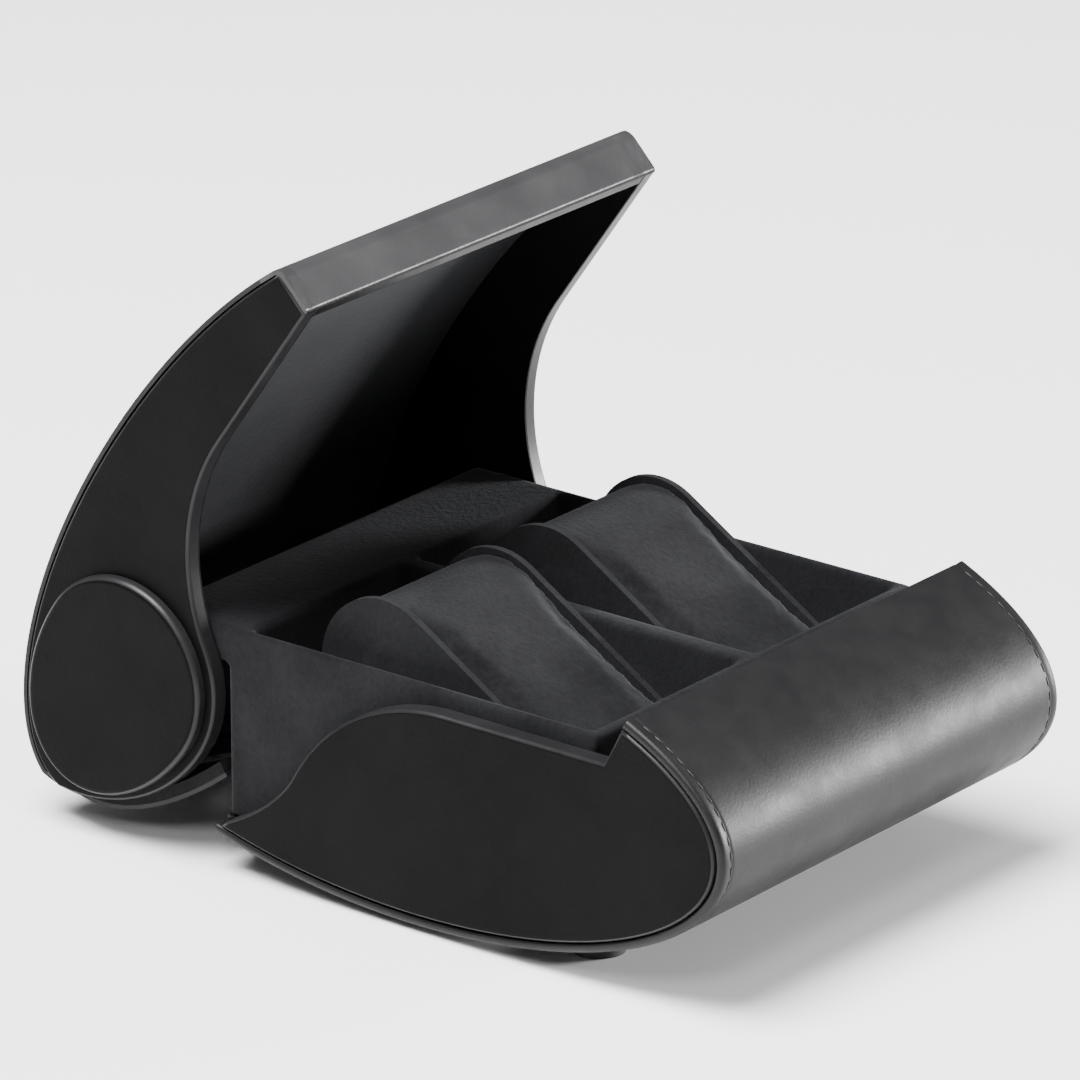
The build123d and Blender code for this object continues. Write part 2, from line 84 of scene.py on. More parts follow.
# %% [markdown]
# Two small tools place a drawn piece. `press` takes a ring that was turned about a plain circle and
# presses it onto the oval, and keeps each layer's depth under the skin. `seat` then moves the piece to
# its place in the frame, and opens it on the hinge if it is part of the lid.

# %% Placing what is drawn
RING = 100.0 * MM


def press(bm):
    """A ring about the X axis, of radius RING at its skin, becomes the box's tipped oval."""
    for v in bm.verts:
        turn = atan2(v.co.z, -v.co.y)
        depth = RING - hypot(v.co.y, v.co.z)
        along, up = HEIGHT * cos(turn), LENGTH * sin(turn)
        size = hypot(along, up)
        f = LENGTH / 2 * cos(turn) - depth * along / size
        z = HEIGHT / 2 * sin(turn) - depth * up / size
        v.co = (v.co.x, -(f * cos(TILT) + z * sin(TILT)), z * cos(TILT) - f * sin(TILT))


def seat(bm, body):
    bmesh.ops.translate(bm, verts=bm.verts, vec=MIDDLE)
    if body == "lid":
        bmesh.ops.rotate(bm, verts=bm.verts, cent=hinge, matrix=Matrix.Rotation(-OPEN, 3, "X"))


def piece(bm, name, body, material, slot, *nodes, sharp=50, weighted=True):
    """Makes the finished piece, which rides on its body and stands for its nodes."""
    mesh = bpy.data.meshes.new(name)
    bm.to_mesh(mesh)
    bm.free()
    made = bpy.data.objects.new(name, mesh)
    scene.collection.objects.link(made)
    mesh.materials.append(material)
    mesh.shade_smooth()
    mesh.set_sharp_from_angle(angle=radians(sharp))
    if weighted:
        even = made.modifiers.new("even shading", "WEIGHTED_NORMAL")
        even.keep_sharp = True
    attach(made, body)
    if nodes:
        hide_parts(*nodes)
    print(f"{name}: {len(mesh.polygons)} faces")
    return made


# %% [markdown]
# Finishes come from nodes. Every finish reads Object coordinates, so its grain has a real size in
# metres and goes round corners without stretching. One short helper adds a node and joins its inputs,
# which keeps each recipe readable.

# %% Helpers for finishes
def new_finish(name):
    finish = bpy.data.materials.new(name)
    finish.use_nodes = True
    tree = finish.node_tree
    place = tree.nodes.new("ShaderNodeTexCoord").outputs["Object"]
    return finish, tree, tree.nodes["Principled BSDF"], place


def add(tree, kind, output=0, settings=None, **inputs):
    """A node with its settings made and its inputs set or joined. Gives back one of its outputs."""
    node = tree.nodes.new("ShaderNode" + kind)
    for key, value in (settings or {}).items():
        setattr(node, key, value)
    for key, value in inputs.items():
        socket = node.inputs[int(key[1:])] if key[0] == "i" and key[1:].isdigit() else node.inputs[key]
        if isinstance(value, bpy.types.NodeSocket):
            tree.links.new(value, socket)
        else:
            socket.default_value = value
    return node.outputs[output]


def clouds(tree, place, size, detail=3.0, low=0.35, high=0.65):
    """Soft patches of about a given size, from 0 to 1."""
    patch = add(tree, "TexNoise", Vector=place, Scale=1 / size, Detail=detail, Roughness=0.55)
    return add(tree, "MapRange", i0=patch, i1=low, i2=high, i3=0.0, i4=1.0)


def shades(tree, amount, dark, light):
    """A colour between two, by an amount from 0 to 1."""
    return add(tree, "Mix", 2, {"data_type": "RGBA"}, i0=amount, i6=(*dark, 1), i7=(*light, 1))


def relief(tree, height, deep, under=None):
    """A bump of a given depth, on top of another if there is one."""
    joined = {"Height": height, "Distance": deep, "Strength": 1.0}
    if under:
        joined["Normal"] = under
    return add(tree, "Bump", **joined)


# %% [markdown]
# Box leather is calf with a fine closed grain: small cells with shallow creases between them, a little
# uneven in gloss where hands and polish have been. The cells are a smooth Voronoi pattern, the gloss is
# slow noise in the roughness, and edges catch light because the real geometry is rounded. The lip's
# leather and the edge leather are also lighter in colour, which is a painted sheen and a painted highlight.

# %% Leather finishes
def leather(name, dark, light, gloss, shine, cell=0.75 * MM, deep=0.035 * MM, worn=0.08, gathered=False):
    finish, tree, shader, place = new_finish(name)
    warp = add(tree, "TexNoise", 1, Vector=place, Scale=1 / (2.2 * MM), Detail=2.0)
    bent = add(tree, "VectorMath", 0, {"operation": "MULTIPLY_ADD"}, i0=warp, i1=(0.6 * MM,) * 3, i2=place)
    smooth = {"feature": "SMOOTH_F1"}
    cells = add(tree, "TexVoronoi", 0, smooth, Vector=bent, Scale=1 / cell, Smoothness=0.6)
    fibre = add(tree, "TexNoise", Vector=place, Scale=1 / (0.3 * MM), Detail=2.0)
    patch = clouds(tree, place, 22 * MM)
    handled = clouds(tree, place, 7 * MM, 5.0)
    tree.links.new(shades(tree, patch, dark, light), shader.inputs["Base Color"])
    rough = add(tree, "MapRange", i0=handled, i1=0.0, i2=1.0, i3=gloss - worn / 2, i4=gloss + worn / 2)
    tree.links.new(rough, shader.inputs["Roughness"])
    slow = relief(tree, clouds(tree, place, 14 * MM), 0.02 * MM)
    grain = relief(tree, cells, deep, slow)
    grain = relief(tree, fibre, 0.8 * deep, grain)
    if gathered:
        grain = gathers(tree, place, grain)
    tree.links.new(grain, shader.inputs["Normal"])
    shader.inputs["Specular IOR Level"].default_value = shine
    return finish


def gathers(tree, place, under):
    """Slanting folds near both ends of the lip, where the leather is drawn together and tucked in."""
    across = add(tree, "SeparateXYZ", 0, Vector=place)
    side = add(tree, "Math", 0, {"operation": "ABSOLUTE"}, i0=across)
    ease = {"interpolation_type": "SMOOTHSTEP"}
    near_end = add(tree, "MapRange", 0, ease, i0=side, i1=50 * MM, i2=59 * MM)
    slanted = add(tree, "Mapping", Vector=place, Rotation=(0, 0.7, 0.4), Scale=(1, 0.3, 0.3))
    folds = add(tree, "TexNoise", Vector=slanted, Scale=1 / (3.2 * MM), Detail=1.5)
    height = add(tree, "Math", 0, {"operation": "MULTIPLY"}, i0=folds, i1=near_end)
    return relief(tree, height, 1.1 * MM, under)


shell_leather = leather(
    "satin calf", (0.005, 0.005, 0.0055), (0.0065, 0.0065, 0.007), 0.46, 0.21, deep=0.018 * MM
)
# The lip's leather is the shell's calf made lighter. The lighter colour is a painted sheen where the lip
# catches the light.
lip_leather = leather(
    "folded calf, painted sheen", (0.018, 0.018, 0.019), (0.026, 0.026, 0.027), 0.42, 0.42,
    deep=0.03 * MM, gathered=True,
)
panel_leather = leather("matte calf", (0.0018, 0.0018, 0.0018), (0.0030, 0.0030, 0.0031), 0.45, 0.045)
lining_leather = leather("smooth lining calf", (0.004, 0.004, 0.004), (0.006, 0.006, 0.0065), 0.38, 0.1)
# The edge finish is glossier than the panels', and its lighter colour is a painted highlight on rounded
# edges.
edge_leather_painted_highlight = leather(
    "polished calf edge, painted highlight", (0.009, 0.009, 0.0095), (0.014, 0.014, 0.015), 0.36, 0.2, deep=0.012 * MM
)
leathers = (shell_leather, lip_leather, panel_leather, lining_leather, edge_leather_painted_highlight)
print("leathers:", [m.name for m in leathers])

# %% [markdown]
# Suede is brushed: its fibres lie in swirls, light one way and dark the other, and the surface glows a
# little at a grazing angle. The swirls are noise at two sizes in the colour, the wide one bent by a slow
# drift. The fibres are a bump, and the glow is sheen. Thread, board, steel and rubber share one plainer
# recipe, with a single grain that is drawn out where the real one is brushed.

# %% Suede, thread, board, steel and rubber
def suede_finish(name, dark, light, swirl=15 * MM):
    finish, tree, shader, place = new_finish(name)
    drift = add(tree, "TexNoise", 1, Vector=place, Scale=1 / (30 * MM), Detail=1.0)
    bent = add(tree, "VectorMath", 0, {"operation": "MULTIPLY_ADD"}, i0=drift, i1=(14 * MM,) * 3, i2=place)
    wide = clouds(tree, bent, swirl, 6.0, 0.32, 0.68)
    small = clouds(tree, place, 1.3 * MM, 4.0, 0.3, 0.7)
    nap = add(tree, "Mix", 0, i0=0.45, i2=wide, i3=small)
    tree.links.new(shades(tree, nap, dark, light), shader.inputs["Base Color"])
    fibre = add(tree, "TexNoise", Vector=place, Scale=1 / (0.4 * MM), Detail=3.0)
    soft = relief(tree, small, 0.05 * MM)
    tree.links.new(relief(tree, fibre, 0.06 * MM, soft), shader.inputs["Normal"])
    shader.inputs["Roughness"].default_value = 0.95
    shader.inputs["Specular IOR Level"].default_value = 0.06
    shader.inputs["Sheen Weight"].default_value = 0.12
    shader.inputs["Sheen Roughness"].default_value = 0.5
    shader.inputs["Sheen Tint"].default_value = (0.6, 0.61, 0.64, 1)
    return finish


def plain_finish(name, dark, light, gloss, grain, deep, metal=0.0, stretch=(1, 1, 1), shine=0.5):
    """A finish with one kind of grain, drawn out along an axis where it is brushed."""
    finish, tree, shader, place = new_finish(name)
    drawn = add(tree, "Mapping", Vector=place, Scale=stretch)
    lines = add(tree, "TexNoise", Vector=drawn, Scale=1 / grain, Detail=4.0)
    patch = clouds(tree, drawn, 6 * grain)
    tree.links.new(shades(tree, patch, dark, light), shader.inputs["Base Color"])
    rough = add(tree, "MapRange", i0=lines, i1=0.2, i2=0.8, i3=gloss - 0.08, i4=gloss + 0.08)
    tree.links.new(rough, shader.inputs["Roughness"])
    tree.links.new(relief(tree, lines, deep), shader.inputs["Normal"])
    shader.inputs["Metallic"].default_value = metal
    shader.inputs["Specular IOR Level"].default_value = shine
    return finish


suede = suede_finish("charcoal suede", (0.0030, 0.0030, 0.0034), (0.0105, 0.0105, 0.0119))
thread = plain_finish(
    "waxed thread", (0.004, 0.004, 0.004), (0.012, 0.012, 0.012), 0.5, 0.4 * MM, 0.05 * MM
)
board = plain_finish(
    "dyed board", (0.005, 0.005, 0.005), (0.009, 0.009, 0.009), 0.8, 1.5 * MM, 0.1 * MM, shine=0.1
)
steel = plain_finish(
    "brushed steel", (0.32, 0.32, 0.33), (0.42, 0.42, 0.43), 0.35, 0.5 * MM, 0.01 * MM, 1.0, (0.05, 1, 1)
)
rubber = plain_finish("foot rubber", (0.015, 0.015, 0.015), (0.03, 0.03, 0.03), 0.75, 0.8 * MM, 0.05 * MM)
print("other finishes:", [m.name for m in (suede, thread, board, steel, rubber)])

# %% [markdown]
# Many covered pieces are flat boards, cut out with a knife along a template. The frame's own flat faces
# are the templates: a copy of a node is merged, all but its flat side is thrown away, and what is left
# is the outline. Extruding it gives the board, and a bevel gives the soft turn of leather at its edge.

# %% Templates, thickness and soft edges
NEAR = 0.05 * MM
SHORTEST_SIDE = 0.9 * MM


def node_copy(*names):
    """A merged copy of nodes, with their flat faces whole."""
    bm = bmesh.new()
    for name in names:
        bm.from_mesh(frame["nodes"][name].data)
    bmesh.ops.remove_doubles(bm, verts=bm.verts, dist=0.01 * MM)
    bmesh.ops.dissolve_limit(bm, angle_limit=radians(0.2), verts=bm.verts, edges=bm.edges)
    return bm


def template(name, x):
    """The flat faces of a node at a given X. Sides too short to be rounded over are closed up."""
    bm = node_copy(name)
    other = [f for f in bm.faces if max(abs(v.co.x - x) for v in f.verts) > NEAR]
    bmesh.ops.delete(bm, geom=other, context="FACES")
    bmesh.ops.remove_doubles(bm, verts=bm.verts, dist=SHORTEST_SIDE)
    print(f"template from {name}: {len(bm.faces)} face, {len(bm.verts)} points")
    return bm


def thicken(bm, deep):
    """A flat template gets its thickness, towards the middle of the box."""
    x = next(iter(bm.verts)).co.x
    made = bmesh.ops.extrude_face_region(bm, geom=bm.faces[:])
    moved = [g for g in made["geom"] if isinstance(g, bmesh.types.BMVert)]
    bmesh.ops.translate(bm, verts=moved, vec=(-deep if x > 0 else deep, 0, 0))
    bmesh.ops.recalc_face_normals(bm, faces=bm.faces)
    return bm


def round_over(bm, edges, width, segments=4, clamp=False):
    bmesh.ops.bevel(
        bm, geom=edges, offset=width, offset_type="OFFSET", affect="EDGES", segments=segments,
        profile=0.5, material=-1, clamp_overlap=clamp,
    )


def soften(bm, width, segments=4, sharp=38.0, where=None, clamp=False):
    """Rounds the sharp edges, or those of them that pass a test."""
    bm.normal_update()
    edges = [e for e in bm.edges if e.is_manifold and e.calc_face_angle() > radians(sharp)]
    round_over(bm, [e for e in edges if where is None or where(e)], width, segments, clamp)
    return bm


def at_x(x):
    """A test for edges that lie in one plane across the box."""
    return lambda e: all(abs(v.co.x - x) < NEAR for v in e.verts)


def finish_where(made, finish, test):
    """Gives the faces that pass a test a finish of their own."""
    made.data.materials.append(finish)
    for face in made.data.polygons:
        if test(face):
            face.material_index = len(made.data.materials) - 1


# %% [markdown]
# The box has four flat leather-covered boards: a side panel on each side of the base, and a cheek on each
# side of the lid. Each is cut from its template, and only its outer edge is rounded. Flat leather looks
# matte and nearly black, but where it is pulled over an edge it is stretched and polished, so the faces
# that turn away from the side get a glossier finish. That finish is also lighter in colour, which is a
# painted highlight on the rounded edges. A cheek is thinner by the lining on its inside.

# %% Side panels and cheeks
LINING = 0.6 * MM
PANEL_TURN = 1.0 * MM


def on_the_edge(face):
    """True for a face that has turned away from the flat of the board."""
    return abs(face.normal.x) < 0.9


for side, sign in (("right", 1), ("left", -1)):
    panel = thicken(template(f"base_side_{side}_cover", sign * HALF), PANEL)
    soften(panel, PANEL_TURN, where=at_x(sign * HALF))
    made = piece(panel, f"side_panel_{side}", "base", panel_leather, "panel_leather",
                 f"base_side_{side}_cover", f"base_side_{side}_board")
    finish_where(made, edge_leather_painted_highlight, on_the_edge)
    cheek = thicken(template(f"lid_cheek_{side}_cover", sign * HALF), PANEL - LINING)
    soften(cheek, PANEL_TURN, where=at_x(sign * HALF))
    made = piece(cheek, f"cheek_{side}", "lid", panel_leather, "panel_leather",
                 f"lid_cheek_{side}_cover", f"lid_cheek_{side}_board")
    finish_where(made, edge_leather_painted_highlight, on_the_edge)

# %% [markdown]
# The nose and belly of the base are one sheet of leather over a bent board. It is folded back on itself
# at both ends and stitched through the fold, so each end is a thick round edge with a shallow dip where
# the thread pulls it down. One section across the shell holds all of that, so it is drawn once, from a
# few points, swept round the ring with `spin`, pressed onto the oval and cut off at the lip and the tail.

# %% The base's shell
STITCH_IN = 2.9 * MM
STITCH_DIP = 0.28 * MM
BASE_WALL = 3.2 * MM
EDGE_TURN = 0.9 * MM


def whole(faces):
    """Faces with their edges and points, as a cut needs them."""
    geom = set(faces)
    for face in faces:
        geom.update(face.edges, face.verts)
    return list(geom)


def swept(section, start, end, steps):
    """A closed section of (x, depth) points, swept round the oval between two turns in degrees."""
    bm = bmesh.new()
    bm.faces.new([bm.verts.new((x, depth - RING, 0)) for x, depth in section])
    about = {"cent": (0, 0, 0), "matrix": Matrix.Rotation(radians(-start), 3, "X")}
    bmesh.ops.rotate(bm, verts=bm.verts, **about)
    bmesh.ops.spin(
        bm, geom=bm.verts[:] + bm.edges[:] + bm.faces[:], cent=(0, 0, 0), axis=(1, 0, 0),
        angle=radians(start - end), steps=steps, use_merge=False,
    )
    press(bm)
    bmesh.ops.recalc_face_normals(bm, faces=bm.faces)
    return bm


def cut_off(bm, f, z, lean, part=lambda v: True):
    """Cuts a piece at a line in the side view that leans forward, drops what is behind it and caps it."""
    chosen = [face for face in bm.faces if all(part(v) for v in face.verts)]
    bmesh.ops.bisect_plane(
        bm, geom=whole(chosen), plane_co=(0, -f, z), plane_no=(0, cos(lean), sin(lean)), clear_outer=True
    )
    bmesh.ops.holes_fill(bm, edges=[e for e in bm.edges if e.is_boundary])
    bmesh.ops.recalc_face_normals(bm, faces=bm.faces)


half_section = [
    (0, 0),
    (SHELL_HALF - STITCH_IN - 1.0 * MM, 0),
    (SHELL_HALF - STITCH_IN - 0.45 * MM, 0.6 * STITCH_DIP),
    (SHELL_HALF - STITCH_IN, STITCH_DIP),
    (SHELL_HALF - STITCH_IN + 0.5 * MM, 0.6 * STITCH_DIP),
    (SHELL_HALF - STITCH_IN + 1.1 * MM, 0.02 * MM),
    (SHELL_HALF - EDGE_TURN, 0.02 * MM),
    (SHELL_HALF - 0.3 * EDGE_TURN, 0.3 * EDGE_TURN),
    (SHELL_HALF, EDGE_TURN),
    (SHELL_HALF, BASE_LEATHER + HEM - 0.5 * MM),
    (SHELL_HALF - 0.5 * MM, BASE_LEATHER + HEM),
    (BOARD_HALF, BASE_LEATHER + HEM),
    (BOARD_HALF, BASE_WALL),
]
section = half_section + [(-x, depth) for x, depth in reversed(half_section) if x > 0]
SHELL_FROM, SHELL_TO, SHELL_STEPS = 60, -130, 76
shell = swept(section, SHELL_FROM, SHELL_TO, SHELL_STEPS)
cut_off(shell, LIP_F, SEAM_Z, BASE_LIP_LEAN, part=lambda v: v.co.z > 0)
cut_off(shell, TAIL_F, 0, 0)
# Only the long edges that cross the box are rounded: the two cut ends.
soften(shell, 0.45 * MM, 3, sharp=60, where=lambda e: e.calc_length() > 30 * MM, clamp=True)
seat(shell, "base")
piece(shell, "base_shell_leather", "base", shell_leather, "shell_leather",
      "base_leather", "base_board", sharp=60)

# %% [markdown]
# The thread shows as a row of short dashes, each pulled in at its ends where it dives into the leather.
# A stitch is a small ball drawn out to a bean. It is made once for each place along the ring, lies at the
# bottom of the dip, and is pressed onto the oval with the rest of its row.

# %% Stitching
STITCH_LONG, STITCH_THICK, STITCH_STEP = 2.5 * MM, 0.42 * MM, 3.4 * MM
ROW_FROM, ROW_TO = radians(42.2), radians(-122)


def stitch_row(x, start, end):
    bm = bmesh.new()
    turn = start
    while turn > end:
        along = hypot(LENGTH / 2 * sin(turn), HEIGHT / 2 * cos(turn))
        made = bmesh.ops.create_icosphere(bm, subdivisions=1, radius=0.5)["verts"]
        size = (STITCH_THICK, STITCH_THICK, STITCH_LONG * RING / along)
        bmesh.ops.scale(bm, vec=size, verts=made)
        bmesh.ops.translate(bm, vec=(x, STITCH_DIP * 0.75 - RING, 0), verts=made)
        bmesh.ops.rotate(bm, cent=(0, 0, 0), matrix=Matrix.Rotation(-turn, 3, "X"), verts=made)
        turn -= STITCH_STEP / along
    press(bm)
    seat(bm, "base")
    return bm


for side, sign in (("right", 1), ("left", -1)):
    row = stitch_row(sign * (SHELL_HALF - STITCH_IN), ROW_FROM, ROW_TO)
    piece(row, f"stitching_{side}", "base", thread, "shell_leather", weighted=False)

# %% [markdown]
# The lid's leather is one ribbon. From behind the front lip it goes round the foot, up the lip, over a soft
# corner, along the whole back of the shell and down under the hinge, where only two narrow ears are left.
# So the ribbon is drawn once as a line in the side view, and drawn out across the box to its width.

# %% The lid's ribbon of leather
LIP_FOOT_F, LIP_FOOT_Z = LIP_F - LIP_GAP, 14.7 * MM
LIP_TURN, FOOT_TURN = 2.8 * MM, 0.8 * MM
LIP_THICK, LIP_BACK = 3.55 * MM, 6.0 * MM
EDGE_END_Z, EDGE_TAPER = -3.0 * MM, radians(24)
CUTOUT_HALF = 46.5 * MM
SHELL_END_F = -LENGTH / 2 + 9.65 * MM
CORNER_AT, EAR_END, RIBBON_STEPS = 48.4, 235.6, 100


def ribbon(start, end):
    """The lid's back in the side view, as a line of edges from the lip's corner round to the ear's end."""
    bm = bmesh.new()
    first = bm.verts.new((0, -RING, 0))
    bmesh.ops.rotate(bm, verts=[first], cent=(0, 0, 0), matrix=Matrix.Rotation(radians(-start), 3, "X"))
    bmesh.ops.spin(
        bm, geom=[first], cent=(0, 0, 0), axis=(1, 0, 0), angle=radians(start - end), steps=RIBBON_STEPS
    )
    press(bm)
    return bm


def lip_f(z):
    """Where the lid's leaning front lip stands at a height."""
    return LIP_FOOT_F + (z - SEAM_Z) * tan(LID_LIP_LEAN)


def extend(bm, edges, x):
    """Draws a line of edges out across the box to a given X, and gives back the new line."""
    made = bmesh.ops.extrude_edge_only(bm, edges=edges)["geom"]
    for v in made:
        if isinstance(v, bmesh.types.BMVert):
            v.co.x = x
    return [e for e in made if isinstance(e, bmesh.types.BMEdge) and at_x(x)(e)]


lid_skin = ribbon(CORNER_AT, EAR_END)
ends = [v for v in lid_skin.verts if len(v.link_edges) == 1]
front = min(ends, key=lambda v: v.co.y)
corner_z = front.co.z
front.co.y = -lip_f(corner_z)
through = LIP_THICK / cos(LID_LIP_LEAN)
turns = [front]
for f, z in (
    (lip_f(LIP_FOOT_Z), LIP_FOOT_Z),
    (lip_f(LIP_FOOT_Z) - through, LIP_FOOT_Z),
    (lip_f(LIP_FOOT_Z + LIP_BACK) - through, LIP_FOOT_Z + LIP_BACK),
):
    made = bmesh.ops.extrude_vert_indiv(lid_skin, verts=turns[-1:])["verts"][0]
    made.co = (0, -f, z)
    turns.append(made)
for corner, turn in zip(turns[:3], (LIP_TURN, FOOT_TURN, FOOT_TURN)):
    bmesh.ops.bevel(
        lid_skin, geom=[corner], offset=turn, offset_type="OFFSET", affect="VERTICES", segments=6,
        profile=0.5, material=-1, clamp_overlap=False,
    )
line = lid_skin.edges[:]
for v in lid_skin.verts:
    v.co.x = -SHELL_HALF
for x in (-BOARD_HALF, -CUTOUT_HALF, 0, CUTOUT_HALF, BOARD_HALF, SHELL_HALF):
    line = extend(lid_skin, line, x)
print("ribbon of leather:", len(lid_skin.faces), "faces before it is trimmed")

# %% [markdown]
# The ribbon is trimmed with straight cuts, as with a knife. Under the hinge it is cut away between the
# ears. Its edges over the cheeks run out to nothing in a slant, and behind the lip it keeps clear of the
# cheeks. Then it gets its thickness, and each stretch its finish.

# %% Trimming the ribbon
def shell_low(f, half_long=LENGTH / 2, half_high=HEIGHT / 2):
    """Height of the oval's underside at f."""
    s, c = sin(TILT), cos(TILT)
    a = s * s / half_long**2 + c * c / half_high**2
    b = f * s * c * (1 / half_high**2 - 1 / half_long**2)
    rest = f * f * (c * c / half_long**2 + s * s / half_high**2) - 1
    return (-b - sqrt(b * b - a * rest)) / a


def shell_end_plane():
    """The cut between the ears, square to the skin: a point on it, and the way that the skin runs."""
    run = 0.5 * MM
    low = [(f, shell_low(f)) for f in (SHELL_END_F, SHELL_END_F + run)]
    rise = low[1][1] - low[0][1]
    along = Vector((0, -run, rise)).normalized()
    return Vector((0, -low[0][0], low[0][1])), along


def cut_through(bm, chosen, at, along):
    """Makes a straight cut through some faces and throws nothing away."""
    bmesh.ops.bisect_plane(bm, geom=whole(chosen), plane_co=at, plane_no=along)


end_at, end_along = shell_end_plane()
low_part = [f for f in lid_skin.faces if f.calc_center_median().z < 0 and f.calc_center_median().y > 0]
cut_through(lid_skin, low_part, end_at, end_along)
taper = Vector((-cos(EDGE_TAPER), 0, sin(EDGE_TAPER)))
for sign in (-1, 1):
    middles = [(f, f.calc_center_median()) for f in lid_skin.faces]
    rim = [f for f, middle in middles if middle.x * sign > BOARD_HALF and middle.y > 0]
    cut_through(lid_skin, rim, (sign * BOARD_HALF, 0, EDGE_END_Z), (sign * taper.x, 0, taper.z))


def trimmed_away(face):
    middle = face.calc_center_median()
    low = middle.z < 0 and middle.y > 0
    past_end = low and (middle - end_at).dot(end_along) > 0
    rim = middle.y > 0 and abs(middle.x) > BOARD_HALF
    tapered = rim and (abs(middle.x) - BOARD_HALF) * taper.x + (middle.z - EDGE_END_Z) * taper.z < 0
    behind = -middle.y < lip_f(middle.z) - FOOT_TURN and middle.z < corner_z - LIP_TURN
    tucked_in = behind and middle.y < 0 and abs(middle.x) > BOARD_HALF
    return tapered or tucked_in or (past_end and abs(middle.x) < CUTOUT_HALF)


bmesh.ops.delete(lid_skin, geom=[f for f in lid_skin.faces if trimmed_away(f)], context="FACES")
bmesh.ops.recalc_face_normals(lid_skin, faces=lid_skin.faces)
highest = max(lid_skin.faces, key=lambda f: f.calc_center_median().z)
if highest.normal.z < 0:
    bmesh.ops.reverse_faces(lid_skin, faces=lid_skin.faces)
bmesh.ops.solidify(lid_skin, geom=lid_skin.faces[:], thickness=LID_LEATHER)
bmesh.ops.recalc_face_normals(lid_skin, faces=lid_skin.faces)
soften(lid_skin, 0.3 * MM, 3, sharp=60, clamp=True)
# Faces under the lip's foot and facing back get the darker lining finish. It is a painted shade, because
# that leather is in shadow.
SHELL_PART, LIP_PART, SHADED_UNDERSIDE_PART = 0, 1, 2
for face in lid_skin.faces:
    middle = face.calc_center_median()
    on_lip = middle.y < -lip_f(middle.z) + LIP_THICK + LIP_TURN and middle.z > 0
    underneath = face.normal.z < -0.6 or face.normal.y > 0.5
    if on_lip:
        face.material_index = SHADED_UNDERSIDE_PART if underneath else LIP_PART
    else:
        face.material_index = SHELL_PART
seat(lid_skin, "lid")
lid_ribbon = piece(
    lid_skin, "lid_leather_ribbon", "lid", shell_leather, "shell_leather",
    "lid_leather", "lid_lip_cover", sharp=60,
)
lid_ribbon.data.materials.append(lip_leather)
# The lining finish on the ribbon paints the shade under the lip.
lid_ribbon.data.materials.append(lining_leather)

# %% [markdown]
# The caps are egg-shaped pads of board under leather, glued on over the hinge end. An egg is a circle
# stretched more on one side than on the other. Extruding it gives the pad, three insets that lift a little
# crown its top, and a wide bevel makes the soft shoulder that catches the light.

# %% Caps
CAP_AT = (-LENGTH / 2 + 38.85 * MM, 2.6 * MM)
CAP_R, CAP_FRONT, CAP_BACK, CAP_PROUD = 22.4 * MM, 22.0 * MM, 32.6 * MM, 2.6 * MM
CAP_SHOULDER = 1.5 * MM


def cap(sign):
    bm = bmesh.new()
    bmesh.ops.create_circle(bm, cap_ends=True, segments=128, radius=1.0)
    bmesh.ops.rotate(bm, verts=bm.verts, cent=(0, 0, 0), matrix=Matrix.Rotation(radians(90), 3, "Y"))
    for v in bm.verts:
        v.co = (0, v.co.y * (CAP_BACK if v.co.y > 0 else CAP_FRONT), v.co.z * CAP_R)
    bmesh.ops.translate(bm, verts=bm.verts, vec=(0, -CAP_AT[0], CAP_AT[1]))
    made = bmesh.ops.extrude_face_region(bm, geom=bm.faces[:])["geom"]
    top = [g for g in made if isinstance(g, bmesh.types.BMFace)]
    raised = [g for g in made if isinstance(g, bmesh.types.BMVert)]
    bmesh.ops.translate(bm, verts=raised, vec=(sign * CAP_PROUD, 0, 0))
    for ring, lift in ((1.6 * MM, 0.0), (3.0 * MM, 0.05 * MM), (6.0 * MM, 0.08 * MM)):
        bmesh.ops.inset_region(bm, faces=top, thickness=ring, depth=0)
        bmesh.ops.translate(bm, verts=list({v for f in top for v in f.verts}), vec=(sign * lift, 0, 0))
    rim = [e for e in bm.edges if at_x(sign * CAP_PROUD)(e) and e.calc_face_angle(0) > radians(40)]
    bmesh.ops.recalc_face_normals(bm, faces=bm.faces)
    round_over(bm, rim, CAP_SHOULDER, 6)
    bmesh.ops.translate(bm, verts=bm.verts, vec=(sign * HALF, 0, 0))
    seat(bm, "lid")
    return bm


# Each cap's shoulder gets the edge finish, whose lighter colour is a painted highlight.
for side, sign in (("right", 1), ("left", -1)):
    made = piece(cap(sign), f"cap_{side}", "lid", panel_leather, "panel_leather", f"lid_cap_{side}")
    finish_where(made, edge_leather_painted_highlight, on_the_edge)

# %% [markdown]
# The lid has a suede liner, each cheek has a smooth lining, and the nose is closed at its back by a covered
# strip. These keep the frame's shapes and only get soft edges.

# %% Liner, lip of the nose and linings
# The nose's strip gets the lip leather, whose lighter colour is a painted sheen.
for name, body, finish, slot, turn in (
    ("lid_liner", "lid", suede, "suede", 0.4 * MM),
    ("base_lip", "base", lip_leather, "lip_leather", 0.7 * MM),
    ("lid_cheek_right_lining", "lid", lining_leather, "lining_leather", 0.25 * MM),
    ("lid_cheek_left_lining", "lid", lining_leather, "lining_leather", 0.25 * MM),
):
    piece(soften(node_copy(name), turn, 3, sharp=50), f"soft_{name}", body, finish, slot, name)

# %% [markdown]
# The tray is board, covered all over in suede: its rims are soft, and the suede runs on from one wall to
# the next. The frame has it as separate boards. Here they are joined, wrapped in one skin with a voxel
# remesh, and the skin is smoothed until its edges are round, as suede over board is.

# %% The suede tray
TRAY_VOXEL = 0.8 * MM


